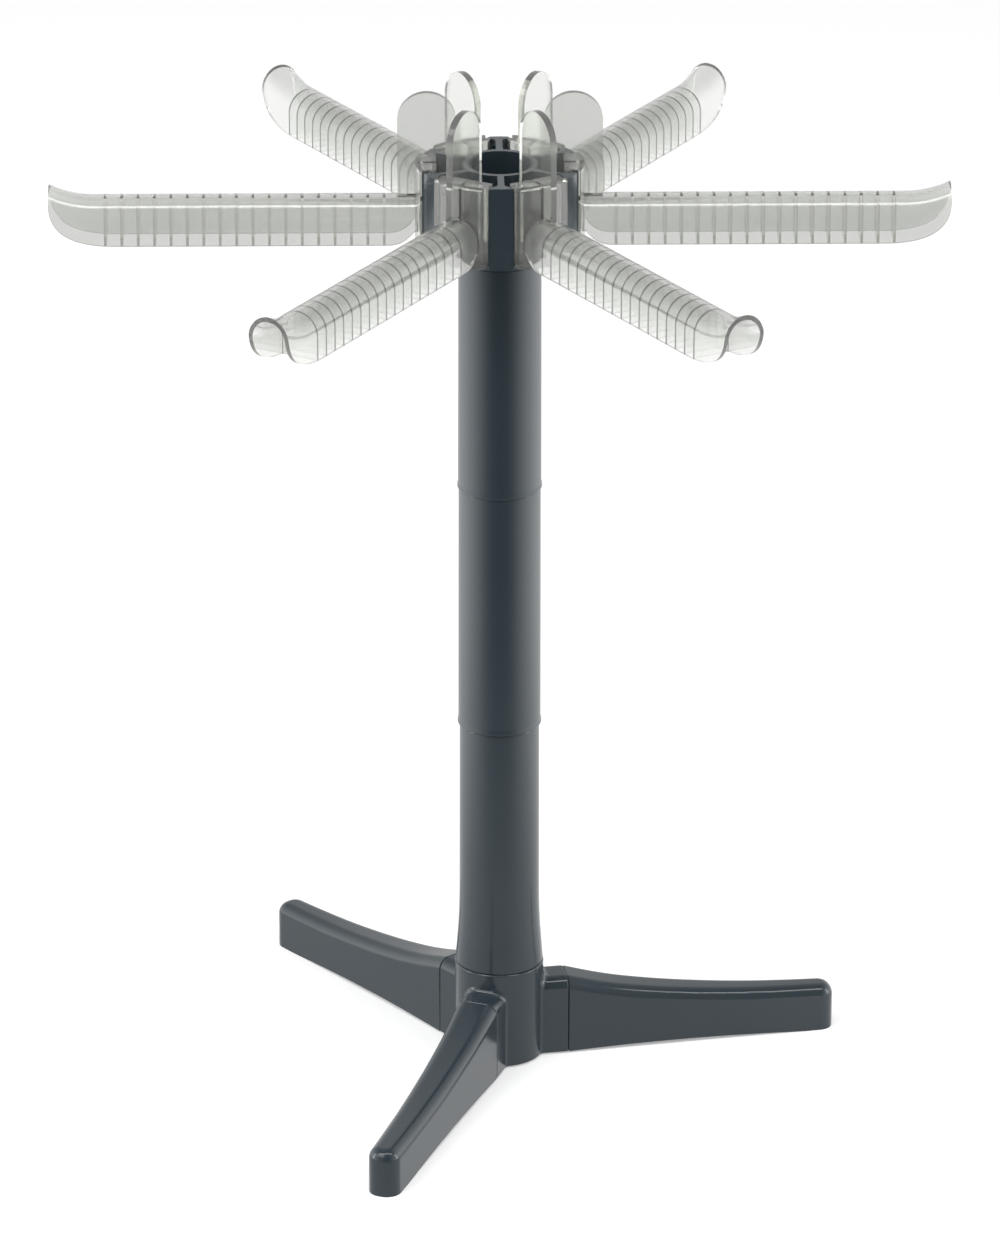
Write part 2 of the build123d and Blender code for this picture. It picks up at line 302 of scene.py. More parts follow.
    def break_edges(self, select: Callable[[bmesh.types.BMEdge], bool], size: float) -> "Blank":
        """Chamfers chosen edges of the blank.

        Args:
            select: Says which edges are chamfered.
            size: Size of the chamfer in metres.

        Returns:
            This blank.
        """
        mesh = bmesh.new()
        mesh.from_mesh(self.body.data)
        edges = [edge for edge in mesh.edges if select(edge)]
        bmesh.ops.bevel(
            mesh, geom=edges, offset=size, offset_type="OFFSET", segments=1, profile=0.5,
            affect="EDGES", material=-1, clamp_overlap=False,
        )
        mesh.to_mesh(self.body.data)
        mesh.free()
        return self

    def discard(self) -> None:
        """Removes the blank from the scene."""
        spent = self.body.data
        bpy.data.objects.remove(self.body)
        bpy.data.meshes.remove(spent)

    def finish(self, name: str, edge_round: float) -> bpy.types.Object:
        """Turns the blank into a named piece with broken edges and smooth curves.

        Args:
            name: Name of the piece.
            edge_round: Radius of the broken edges.

        Returns:
            The piece.
        """
        mesh = bmesh.new()
        mesh.from_mesh(self.body.data)
        bmesh.ops.remove_doubles(mesh, verts=mesh.verts[:], dist=self.CLEANING)
        bmesh.ops.dissolve_degenerate(mesh, edges=mesh.edges[:], dist=self.CLEANING)
        bmesh.ops.dissolve_limit(
            mesh, angle_limit=self.FLAT_TURN, verts=mesh.verts[:], edges=mesh.edges[:]
        )
        mesh.to_mesh(self.body.data)
        mesh.free()
        self.body.name = name
        self.body.data.name = name
        self.body.data.shade_smooth()
        self.body.data.set_sharp_from_angle(angle=self.SHARP_TURN)
        bevel = self.body.modifiers.new("broken_edges", "BEVEL")
        bevel.width = edge_round
        bevel.segments = self.BREAK_STEPS
        bevel.limit_method = "ANGLE"
        bevel.angle_limit = self.SHARP_TURN
        bevel.harden_normals = True
        weighted = self.body.modifiers.new("flat_faces_lead", "WEIGHTED_NORMAL")
        weighted.keep_sharp = True
        return self.body


class Signal:
    """A node socket on which Python's arithmetic adds Math nodes."""

    def __init__(self, bench: "Bench", socket: bpy.types.NodeSocket) -> None:
        """Wraps a socket of the bench's node tree."""
        self.bench = bench
        self.socket = socket

    def maths(self, operation: str, *values: "Signal | float", clamp: bool = False) -> "Signal":
        """Adds a Math node.

        Args:
            operation: Blender's name of the operation.
            *values: The node's inputs in order.
            clamp: Whether the result is kept between 0 and 1.

        Returns:
            The node's result.
        """
        settings = {"operation": operation, "use_clamp": clamp}
        return self.bench.add("ShaderNodeMath", settings, dict(enumerate(values)))

    def __add__(self, other: "Signal | float") -> "Signal":
        """Sum."""
        return self.maths("ADD", self, other)

    def __mul__(self, other: "Signal | float") -> "Signal":
        """Product."""
        return self.maths("MULTIPLY", self, other)

    def __sub__(self, other: "Signal | float") -> "Signal":
        """Difference."""
        return self.maths("SUBTRACT", self, other)

    def __rsub__(self, other: float) -> "Signal":
        """Difference from a number."""
        return self.maths("SUBTRACT", other, self)

    __radd__ = __add__
    __rmul__ = __mul__

    def clamped(self) -> "Signal":
        """The value kept between 0 and 1."""
        return self.maths("ADD", self, 0.0, clamp=True)


@dataclass(frozen=True)
class Grain:
    """Fineness of a noise pattern."""

    scale: float
    detail: float
    stretch: tuple[float, float, float] = (1, 1, 1)


class Bench:
    """Node tree of one material."""

    def __init__(self, tree: bpy.types.NodeTree) -> None:
        """Empties the tree."""
        self.tree = tree
        self.tree.nodes.clear()

    def add(
        self, kind: str, settings: dict | None = None, inputs: dict | None = None, output: str | int = 0
    ) -> Signal:
        """Adds a node.

        Args:
            kind: Blender's name of the node type.
            settings: Properties of the node, set before its sockets.
            inputs: Values or signals by socket name or number.
            output: Socket that is returned.

        Returns:
            The chosen output.
        """
        node = self.tree.nodes.new(kind)
        for name, value in (settings or {}).items():
            setattr(node, name, value)
        for name, value in (inputs or {}).items():
            if isinstance(value, Signal):
                self.tree.links.new(value.socket, node.inputs[name])
            else:
                node.inputs[name].default_value = value
        return Signal(self, node.outputs[output]) if node.outputs else Signal(self, None)

    def coordinates(self, stretch: tuple[float, float, float] = (1, 1, 1)) -> Signal:
        """Object coordinates, scaled."""
        place = self.add("ShaderNodeTexCoord", output="Object")
        return self.add("ShaderNodeMapping", {}, {"Vector": place, "Scale": stretch})

    def noise(self, grain: Grain) -> Signal:
        """Noise of a grain over the piece."""
        fineness = {"Scale": grain.scale, "Detail": grain.detail}
        inputs = {"Vector": self.coordinates(grain.stretch), **fineness}
        return self.add("ShaderNodeTexNoise", {}, inputs)

    def blend(self, factor: Signal, first: tuple, second: tuple) -> Signal:
        """Colour between two colours."""
        inputs = {0: factor, 6: first, 7: second}
        return self.add("ShaderNodeMix", {"data_type": "RGBA"}, inputs, 2)

    def bump(self, height: Signal, distance: float) -> Signal:
        """Normal of a height map with that depth in metres."""
        return self.add("ShaderNodeBump", {}, {"Height": height, "Distance": distance})

    def sight(self) -> tuple[Signal, Signal]:
        """Tells rays apart.

        Returns:
            Whether a ray is seen straight or through clear plastic, and whether gloss sends it.
        """
        kinds = ("Is Camera Ray", "Is Transmission Ray", "Is Glossy Ray")
        straight, passing, glossy = (self.add("ShaderNodeLightPath", output=kind) for kind in kinds)
        return (straight + passing).clamped(), glossy


@dataclass(frozen=True)
class Surround:
    """Level of the studio as gloss shows it: bright to both sides, dim in front and grey behind."""

    front: float = 0.05
    side: float = 2.6
    side_power: float = 3.0
    rear: float = 0.8

    def level(self, bench: Bench, place: Signal) -> Signal:
        """Level towards a place.

        Args:
            bench: Bench of the material or world.
            place: The place as a vector.

        Returns:
            The level.
        """
        way = bench.add("ShaderNodeVectorMath", {"operation": "NORMALIZE"}, {0: place})
        across = bench.add("ShaderNodeSeparateXYZ", {}, {"Vector": way}, "X")
        along = bench.add("ShaderNodeSeparateXYZ", {}, {"Vector": way}, "Y")
        sides = across.maths("POWER", across.maths("ABSOLUTE", across), self.side_power)
        return self.front + self.side * sides + self.rear * along.clamped()


SURROUND = Surround()


@dataclass(frozen=True)
class Finish:
    """What every finish has."""

    name: str

    def bench(self) -> tuple[bpy.types.Material, Bench]:
        """Starts the finish.

        Returns:
            A new material and the bench of its nodes.
        """
        material = bpy.data.materials.new(self.name)
        material.use_nodes = True
        return material, Bench(material.node_tree)

    def close(self, bench: Bench, inputs: dict, inside: dict | None = None) -> None:
        """Adds the shader and the output.

        Args:
            bench: The material's bench.
            inputs: Inputs of the Principled shader.
            inside: What the output takes besides the surface.
        """
        shader = bench.add("ShaderNodeBsdfPrincipled", {}, inputs)
        bench.add("ShaderNodeOutputMaterial", {}, {"Surface": shader, **(inside or {})})


@dataclass(frozen=True)
class SlatePlastic(Finish):
    """Glossy moulded slate plastic with faint flow marks and handling haze."""

    deep: tuple = (0.026, 0.038, 0.047, 1)
    pale: tuple = (0.032, 0.045, 0.055, 1)
    gloss: float = 0.12
    haze_share: float = 0.06
    ior: float = 1.46
    peel_depth: float = 0.02 * MM
    flow: Grain = Grain(1.0, 3.0, (9, 9, 26))
    haze: Grain = Grain(140.0, 4.0)
    peel: Grain = Grain(420.0, 1.0)

    def material(self) -> bpy.types.Material:
        """Makes the finish.

        Returns:
            The node material.
        """
        material, bench = self.bench()
        self.close(bench, {
            "Base Color": bench.blend(bench.noise(self.flow), self.deep, self.pale),
            "Roughness": self.gloss + bench.noise(self.haze) * self.haze_share,
            "IOR": self.ior,
            "Normal": bench.bump(bench.noise(self.peel), self.peel_depth),
        })
        return material


@dataclass(frozen=True)
class ClearPlastic(Finish):
    """Clear moulded plastic, faintly grey-green in depth, with soft ripples and handling haze."""

    thin: tuple = (0.92, 0.925, 0.905, 1)
    thick: tuple = (0.87, 0.88, 0.86, 1)
    gloss: float = 0.04
    haze_share: float = 0.05
    ior: float = 1.54
    clarity: float = 0.91
    density: float = 52.0
    soak: tuple = (0.42, 0.44, 0.37, 1)
    ripple_depth: float = 0.01 * MM
    flow: Grain = Grain(1.0, 2.0, (14, 14, 14))
    haze: Grain = Grain(90.0, 3.0)
    ripple: Grain = Grain(70.0, 1.0)

    def material(self) -> bpy.types.Material:
        """Makes the finish.

        Returns:
            The node material.
        """
        material, bench = self.bench()
        inside = {"Color": self.soak, "Density": self.density}
        body = bench.add("ShaderNodeVolumeAbsorption", {}, inside)
        self.close(bench, {
            "Base Color": bench.blend(bench.noise(self.flow), self.thin, self.thick),
            "Roughness": self.gloss + bench.noise(self.haze) * self.haze_share,
            "IOR": self.ior,
            "Transmission Weight": self.clarity,
            "Normal": bench.bump(bench.noise(self.ripple), self.ripple_depth),
        }, {"Volume": body})
        return material


@dataclass(frozen=True)
class StudioFloor(Finish):
    """Pale seamless floor that keeps the rack's shadow and, for glossy rays only, glows with a painted
    studio reflection.
    """

    shade: tuple = (0.86, 0.86, 0.86, 1)
    worn: tuple = (0.8514, 0.8514, 0.8514, 1)
    lift: float = 0.34
    near_reflection_level: float = 1.0
    near_rate: float = 2.2
    near_start: float = 0.25
    grain: Grain = Grain(60.0, 2.0)

    def material(self) -> bpy.types.Material:
        """Makes the finish.

        Returns:
            The node material of the floor.
        """
        material, bench = self.bench()
        tone = bench.blend(bench.noise(self.grain), self.shade, self.worn)
        seen, glossy = bench.sight()
        matt = bench.add("ShaderNodeBsdfDiffuse", {}, {"Color": tone})
        glow = bench.add("ShaderNodeEmission", {}, {"Strength": seen * self.lift})
        both = bench.add("ShaderNodeAddShader", {}, {0: matt, 1: glow})
        # Painted reflection: glossy rays see the floor glow at a set level near the rack and, further
        # out, bright to both sides and dim in front.
        place = bench.coordinates()
        reach = bench.add("ShaderNodeVectorMath", {"operation": "LENGTH"}, {0: place}, "Value")
        far = (self.near_rate * reach - self.near_start).clamped()
        level = SURROUND.level(bench, place) * far + (1 - far) * self.near_reflection_level
        painted_reflection = bench.add("ShaderNodeEmission", {}, {"Strength": level})
        pick = bench.add("ShaderNodeMixShader", {}, {0: glossy, 1: both, 2: painted_reflection})
        bench.add("ShaderNodeOutputMaterial", {}, {"Surface": pick})
        return material


@dataclass
class PhotoCamera:
    """Camera at the photograph's place."""

    azimuth: float = -0.93
    elevation: float = 22.25
    roll: float = 0.06
    distance: float = 3054.3 * MM
    aim_height: float = 230 * MM
    focal_pixels: float = 6721.1
    frame_width: float = 1000.0
    frame_height: float = 1258.0
    centre: Point = (499.56, 593.36)
    film: float = 36.0
    sight_end: float = 100.0

    def build(self) -> None:
        """Creates the camera and makes it the scene's."""
        data = bpy.data.cameras.new("photo_camera")
        data.sensor_width = self.film
        data.lens = self.focal_pixels / self.frame_height * self.film
        data.shift_x = (self.frame_width / 2 - self.centre[0]) / self.frame_height
        data.shift_y = (self.centre[1] - self.frame_height / 2) / self.frame_height
        data.clip_end = self.sight_end
        camera = bpy.data.objects.new("photo_camera", data)
        bpy.context.scene.collection.objects.link(camera)
        turn, tilt = radians(self.azimuth), radians(self.elevation)
        away = Vector((sin(turn) * cos(tilt), -cos(turn) * cos(tilt), sin(tilt)))
        camera.location = Vector((0, 0, self.aim_height)) + away * self.distance
        aim = (-away).to_track_quat("-Z", "Y").to_matrix()
        roll = Matrix.Rotation(radians(self.roll), 3, "Z")
        camera.rotation_euler = (aim @ roll).to_euler()
        bpy.context.scene.camera = camera


@dataclass(frozen=True)
class Lamp:
    """One softbox: its name, place, width, height and power in watts."""

    name: str
    place: tuple[float, float, float]
    width: float
    height: float
    power: float

    def build(self, aim_height: float) -> None:
        """Creates the lamp, aimed at the column.

        Args:
            aim_height: Height of the place that it is aimed at.
        """
        data = bpy.data.lights.new(self.name, "AREA")
        data.shape = "RECTANGLE"
        data.size = self.width
        data.size_y = self.height
        data.energy = self.power
        lamp = bpy.data.objects.new(self.name, data)
        bpy.context.scene.collection.objects.link(lamp)
        lamp.location = self.place
        aim = Vector((0, 0, aim_height)) - Vector(self.place)
        lamp.rotation_euler = aim.to_track_quat("-Z", "Y").to_euler()


@dataclass
class Studio:
    """Floor, backdrop and soft light."""

    floor_reach: float = 12.0
    floor_cells: int = 8
    world_level: float = 0.52
    aim_height: float = 240 * MM
    lamps: tuple = (
        Lamp("key_softbox", (-1.6, -1.4, 2.2), 1.6, 1.2, 16.0),
        Lamp("overhead_softbox", (0.0, -0.75, 2.3), 3.0, 0.4, 27.0),
        Lamp("left_strip", (-2.2, -0.2, 0.6), 0.5, 1.8, 14.0),
        Lamp("right_strip", (2.2, -0.2, 0.6), 0.5, 1.8, 14.0),
    )

    def build_floor(self) -> None:
        """Creates the floor just below the feet."""
        mesh = bmesh.new()
        cells = self.floor_cells
        bmesh.ops.create_grid(mesh, x_segments=cells, y_segments=cells, size=self.floor_reach)
        data = bpy.data.meshes.new("floor")
        mesh.to_mesh(data)
        mesh.free()
        floor = bpy.data.objects.new("floor", data)
        bpy.context.scene.collection.objects.link(floor)
        data.materials.append(StudioFloor("studio_floor").material())

    def build_world(self) -> None:
        """Gives the world a soft level for light and white for sight."""
        world = bpy.data.worlds.new("studio_world")
        world.use_nodes = True
        bpy.context.scene.world = world
        bench = Bench(world.node_tree)
        seen, glossy = bench.sight()
        place = bench.add("ShaderNodeTexCoord", output="Generated")
        plain = self.world_level * (1 - seen) + seen
        level = plain * (1 - glossy) + SURROUND.level(bench, place) * glossy
        sky = bench.add("ShaderNodeBackground", {}, {"Color": (1, 1, 1, 1), "Strength": level})
        bench.add("ShaderNodeOutputWorld", {}, {"Surface": sky})

    def build(self) -> None:
        """Sets the whole studio up."""
        self.build_floor()
        self.build_world()
        for lamp in self.lamps:
            lamp.build(self.aim_height)
        bpy.context.scene.view_settings.view_transform = "Standard"


@dataclass(frozen=True)
class Fits:
    """Sizes that several sub-assemblies share."""

    bore: float = 16.0 * MM
    spigot: float = 15.9 * MM
    spigot_bore: float = 13.8 * MM
    spigot_length: float = 14.0 * MM
    spigot_neck: float = 4.0 * MM
    spigot_lead: float = 1.0 * MM
    post: float = 18.6 * MM
    web: float = 3.0 * MM
    flange_outer: float = 36.9 * MM
    flange_inner: float = 33.9 * MM
    flange_width: float = 11.4 * MM
    rim_break: float = 0.5 * MM
    edge_round: float = 0.25 * MM
    overrun: float = 2.0 * MM
    arms: int = 6


FITS = Fits()


@dataclass
class SubAssembly:
    """Pieces that are built together and worn by one finish."""

    finish: bpy.types.Material
    slot: Slot
    edge_round: float = FITS.edge_round

    def place(self, blank: Blank, node: str) -> bpy.types.Object:
        """Finishes a blank as the piece that stands for a node.

        Args:
            blank: The worked blank, in its place.
            node: Name of the node and of its body.

        Returns:
            The finished piece.
        """
        piece = blank.finish(node + "_moulding", self.edge_round)
        piece.data.materials.clear()
        piece.data.materials.append(self.finish)
        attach(piece, node)
        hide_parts(node)
        LOG.info("built %s with %d faces", piece.name, len(piece.data.polygons))
        return piece


@dataclass
class Column(SubAssembly):
    """Three plug-together tubes between the base and the head."""

    tube_top: float = 18.6 * MM
    tube_foot: float = 18.85 * MM
    lip_flare: float = 0.35 * MM
    lip_height: float = 3.0 * MM
    trumpet_top: float = 18.25 * MM
    trumpet_knots: tuple = (
        (0.5 * MM, 20.3 * MM), (6 * MM, 19.9 * MM), (18 * MM, 19 * MM), (66 * MM, 18.5 * MM)
    )
    trumpet_steps: int = 8
    rim_steps: int = 4

    def inside(self, foot: float, top: float) -> list[Point]:
        """Profile of a tube's spigot and bore, from the shoulder to the foot.

        Args:
            foot: Height of the tube's foot.
            top: Height of its shoulder.

        Returns:
            The profile's points.
        """
        rim = top + FITS.spigot_length
        return [
            (FITS.spigot, top),
            (FITS.spigot, rim - FITS.spigot_lead),
            (FITS.spigot - FITS.spigot_lead, rim),
            (FITS.spigot_bore, rim),
            (FITS.spigot_bore, top - FITS.spigot_neck),
            (FITS.bore, top - FITS.spigot_neck),
            (FITS.bore, foot),
        ]

    def plain_profile(self, foot: float, top: float) -> list[Point]:
        """Profile of a tube with a flared lip at its foot.

        Args:
            foot: Height of the tube's foot.
            top: Height of its shoulder.

        Returns:
            The profile's points.
        """
        soft, steps = FITS.rim_break, self.rim_steps
        lip = self.tube_foot + self.lip_flare
        return [
            *arc(soft, -pi / 2, 0, steps, (lip - soft, foot + soft)),
            (lip, foot + self.lip_height / 2),
            (self.tube_foot, foot + self.lip_height),
            *arc(soft, 0, pi / 2, steps, (self.tube_top - soft, top - soft)),
            *self.inside(foot, top),
        ]

    def trumpet_profile(self, foot: float, top: float) -> list[Point]:
        """Profile of the lowest tube, which widens towards the base.

        Args:
            foot: Height of the tube's foot.
            top: Height of its shoulder.

        Returns:
            The profile's points.
        """
        knots = [(foot + height, radius) for height, radius in self.trumpet_knots]
        knots.append((top - FITS.rim_break, self.trumpet_top))
        return [
            *[(radius, height) for height, radius in through(knots, self.trumpet_steps)],
            (self.trumpet_top - FITS.rim_break, top),
            *self.inside(foot, top),
            (knots[0][1] - FITS.rim_break, foot),
        ]

    def build(self) -> list[bpy.types.Object]:
        """Builds the three tubes.

        Returns:
            The tubes.
        """
        pieces = []
        for part, profile in (
            (Part.LOWER, self.trumpet_profile),
            (Part.MIDDLE, self.plain_profile),
            (Part.UPPER, self.plain_profile),
        ):
            low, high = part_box(part.value)
            shoulder = high[2] - FITS.spigot_length
            pieces.append(self.place(Blank.turned(profile(low[2], shoulder)), part.value))
        return pieces


@dataclass
class Base(SubAssembly):
    """Hub cup with three stubs, and the three legs that plug onto them."""

    hub: float = 20.6 * MM
    hub_wall: float = 2.8 * MM
    hub_deck: float = 3.0 * MM
    stub_reach: float = 31.2 * MM
    seam: float = 0.5 * MM
    tongue_length: float = 16.0 * MM
    tongue_gap: float = 0.2 * MM
    tongue_foot: float = 2.0 * MM
    tongue_wall: float = 2.0 * MM
    leg_reach: float = 159.0 * MM
    root_width: float = 20.0 * MM
    tip_width: float = 14.5 * MM
    wall: float = 2.4 * MM
    root_height: float = 38.0 * MM
    tip_height: float = 21.8 * MM
    edge_radius: float = 5.5 * MM
    tip_radius: float = 6.67 * MM
    foot_length: float = 15.0 * MM
    arch_rise: float = 1.8 * MM
    rib: float = 1.8 * MM
    rib_count: int = 3
    flare: float = 3.0 * MM
    flare_steps: int = 6
    first_turn: float = 9.6
    leg_names: tuple = ("leg_right", "leg_rear", "leg_front")
    back_shares: tuple = (1.0, 0.64, 0.4, 0.23, 0.11, 0.04, 0.0)
    back_steps: int = 16
    flank_steps: int = 30
    tip_steps: int = 12
    shoulder_steps: int = 8

    def half_width(self, radius: float) -> float:
        """Half of a leg's width at a radius, on its straight taper."""
        share = (radius - self.stub_reach) / (self.leg_reach - self.stub_reach)
        return (self.root_width + (self.tip_width - self.root_width) * share) / 2

    def plan(self, start: float, end: float, inset: float) -> list[Point]:
        """Plan of a stretch of a leg, drawn in from its two sides."""
        near, far = self.half_width(start) - inset, self.half_width(end) - inset
        return [(start, -near), (end, -far), (end, far), (start, near)]

    def back(self, drop: float = 0.0) -> list[Point]:
        """Curve of a leg's back from its root to its tip.

        Args:
            drop: How far the curve lies below the back.

        Returns:
            The curve's points.
        """
        span = (self.leg_reach - self.stub_reach) / (len(self.back_shares) - 1)
        extra = self.root_height - self.tip_height
        knots = [
            (self.stub_reach + span * index, self.tip_height - drop + extra * share)
            for index, share in enumerate(self.back_shares)
        ]
        return through(knots, self.back_steps)

    def crest(self, radius: float) -> tuple[float, Vector]:
        """Looks the back up at a radius.

        Args:
            radius: Distance from the column's axis.

        Returns:
            Height of the back there, and the direction square to it.
        """
        back = self.back()
        index = sum(place < radius for place, _ in back[1:-1])
        (start, high), (end, low) = back[index:index + 2]
        slope = (low - high) / (end - start)
        return high + slope * (radius - start), Vector((-slope, 0, 1)).normalized()

    def underside(self, radius: float) -> float:
        """Looks the shallow arch under a leg up at a radius.

        Args:
            radius: Distance from the column's axis.

        Returns:
            Height of the arch there.
        """
        end = self.leg_reach - self.foot_length
        along = min(1, max(0, (end - radius) / (end - self.stub_reach)))
        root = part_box(Part.HUB.value)[0][2]
        return 4 * along * (1 - along) * (self.arch_rise - root / 2) + root * along

    def leg_plan(self) -> list[tuple[Point, Point]]:
        """Draws one side of a leg's plan, from root to tip.

        Returns:
            Places of the plan, each with its outward direction.
        """
        lean = atan2(self.root_width - self.tip_width, 2 * (self.leg_reach - self.stub_reach))
        tip = self.leg_reach - self.tip_radius
        side = self.half_width(tip) - self.tip_radius / cos(lean)
        start = self.stub_reach - 2 * FITS.overrun
        flank = (sin(lean), cos(lean))
        reach = tip + self.tip_radius * flank[0] - start
        stations = [start + reach * step / self.flank_steps for step in range(self.flank_steps)]
        ways = arc(1.0, pi / 2 - lean, 0, self.tip_steps)
        return [((place, self.half_width(place)), flank) for place in stations] + [
            ((tip + self.tip_radius * x, side + self.tip_radius * y), (x, y)) for x, y in ways
        ]

    def leg_row(self, place: Point, normal: Point) -> list[Vector]:
        """Points up a leg's side and over its round shoulder.

        Args:
            place: Point of the plan.
            normal: The plan's outward direction there.

        Returns:
            The row's points, from the foot to the back.
        """
        radius = self.edge_radius
        out = Vector((*normal, 0))
        centre = Vector((*place, 0)) - radius * out
        _, up = self.crest(centre.x)
        high, up = self.crest(centre.x + radius * up.x)
        centre.z = high - radius * up.z
        shares = [step / self.shoulder_steps for step in range(self.shoulder_steps + 1)]
        foot = Vector((*place, self.underside(place[0])))
        return [foot] + [centre + radius * out.slerp(up, share) for share in shares]

    def leg(self) -> Blank:
        """Makes one leg along +X, hollow below.

        Returns:
            The leg.
        """
        rows = [self.leg_row(place, normal) for place, normal in self.leg_plan()]
        body = Blank.lofted([row + [Vector((x, -y, z)) for x, y, z in reversed(row)] for row in rows])
        width, height = 2 * self.root_width, 2 * self.root_height
        body.cut(Blank.slab(0, self.stub_reach, width, -FITS.overrun, height))
        return body.cut(self.hollow()).break_edges(self.is_seam, self.seam)

    def is_seam(self, edge: bmesh.types.BMEdge) -> bool:
        """Picks the outer edges of the faces where stub and leg meet.

        Args:
            edge: An edge of a stub or leg along +X.

        Returns:
            Whether it is one of them.
        """
        thin = self.wall - self.tongue_gap
        side, top = self.root_width / 2 - thin, self.root_height - thin
        return all(
            abs(vert.co.x - self.stub_reach) < TINY and (abs(vert.co.y) > side or vert.co.z > top)
            for vert in edge.verts
        )

    def hollow(self) -> Blank:
        """Makes the hollow of a leg, with its cross ribs left standing.

        Returns:
            The hollow.
        """
        start, end = self.stub_reach - FITS.overrun, self.leg_reach - self.foot_length
        back = [point for point in self.back(self.wall) if point[0] < end]
        roof = [(start, back[0][1]), *back, (end, back[-1][1])]
        body = Blank.plate(roof + [(end, -FITS.overrun), (start, -FITS.overrun)], self.root_width)
        plan = self.plan(start - FITS.overrun, end + FITS.overrun, self.wall)
        body.keep(Blank.prism(plan, -2 * FITS.overrun, self.root_height))
        first = self.stub_reach + self.tongue_length
        half = self.rib / 2
        for index in range(self.rib_count):
            place = first + (end - first) * (index + 0.5) / self.rib_count
            low, high = -2 * FITS.overrun, self.root_height
            body.cut(Blank.slab(place - half, place + half, self.root_width, low, high))
        return body

    def stub(self) -> Blank:
        """Makes one stub along +X, which flows out of the hub with a flare and on into its leg.

        Returns:
            The stub.
        """
        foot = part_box(Part.HUB.value)[0][2]
        half, radius = self.root_width / 2, self.edge_radius
        shoulder = arc(1.0, 0, pi / 2, self.shoulder_steps)
        outline = [((half, foot), (1.0, 0.0))]
        outline += [
            ((half - radius + radius * y, self.root_height - radius + radius * z), (y, z))
            for y, z in shoulder
        ]
        outline = outline + [((-y, z), (-ny, nz)) for (y, z), (ny, nz) in reversed(outline)]
        rows = [self.flare_row(point, normal) for point, normal in outline]
        return Blank.lofted(list(zip(*rows)), flat_end=True).break_edges(self.is_seam, self.seam)

    def flare_row(self, point: Point, normal: Point) -> list[Vector]:
        """Points along a stub at one place of its section, from inside the hub to the seam.

        Args:
            point: The place as Y and Z.
            normal: The section's outward direction there.

        Returns:
            The row's points.
        """
        across, height = (place + self.flare * way for place, way in zip(point, normal))
        reach = self.hub + self.flare
        ball = Vector((sqrt(reach ** 2 - across ** 2), across, height))
        to_hub = Vector((-ball.x / reach, -across / reach, 0))
        to_stub = Vector((0, -normal[0], -normal[1]))
        shares = [step / self.flare_steps for step in range(self.flare_steps + 1)]
        row = [ball + self.flare * to_hub.slerp(to_stub, share) for share in shares]
        sunk = row[0] + to_hub * self.hub_wall / 2
        return [sunk, *row, Vector((self.stub_reach, *point))]

    def hub_profile(self) -> list[Point]:
        """Draws the hub cup and its spigot.

        Returns:
            The profile's points.
        """
        low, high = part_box(Part.HUB.value)
        top = high[2] - FITS.spigot_length
        inside = self.hub - self.hub_wall
        return [
            (self.hub, low[2]),
            (self.hub, top - FITS.rim_break),
            (self.hub - FITS.rim_break, top),
            (FITS.spigot, top),
            (FITS.spigot, high[2] - FITS.spigot_lead),
            (FITS.spigot - FITS.spigot_lead, high[2]),
            (FITS.spigot_bore, high[2]),
            (FITS.spigot_bore, top - self.hub_deck),
            (inside, top - self.hub_deck),
            (inside, low[2]),
        ]

    def hub_body(self) -> Blank:
        """Makes the hub cup with its stubs and tongues.

        Returns:
            The hub.
        """
        body = Blank.turned(self.hub_profile())
        inside = self.hub - self.hub_wall / 2
        end = self.stub_reach + self.tongue_length
        inset = self.wall + self.tongue_gap
        top = self.crest(end + self.tongue_wall)[0] - inset
        for index in range(len(self.leg_names)):
            turn = self.first_turn + index * 360 / len(self.leg_names)
            body.join(self.stub().turn(turn))
            tongue = Blank.prism(self.plan(self.hub, end, inset), self.tongue_foot, top)
            body.join(tongue.turn(turn))
            plan = self.plan(inside, end - self.tongue_wall, inset + self.tongue_wall)
            body.cut(Blank.prism(plan, -FITS.overrun, top - self.tongue_wall).turn(turn))
        return body

    def build(self) -> list[bpy.types.Object]:
        """Builds the hub and the three legs.

        Returns:
            The hub and the legs.
        """
        pieces = [self.place(self.hub_body(), Part.HUB.value)]
        pattern = self.leg()
        for index, name in enumerate(self.leg_names):
            turn = self.first_turn + index * 360 / len(self.leg_names)
            pieces.append(self.place(pattern.copy().turn(turn), name))
        pattern.discard()
        return pieces


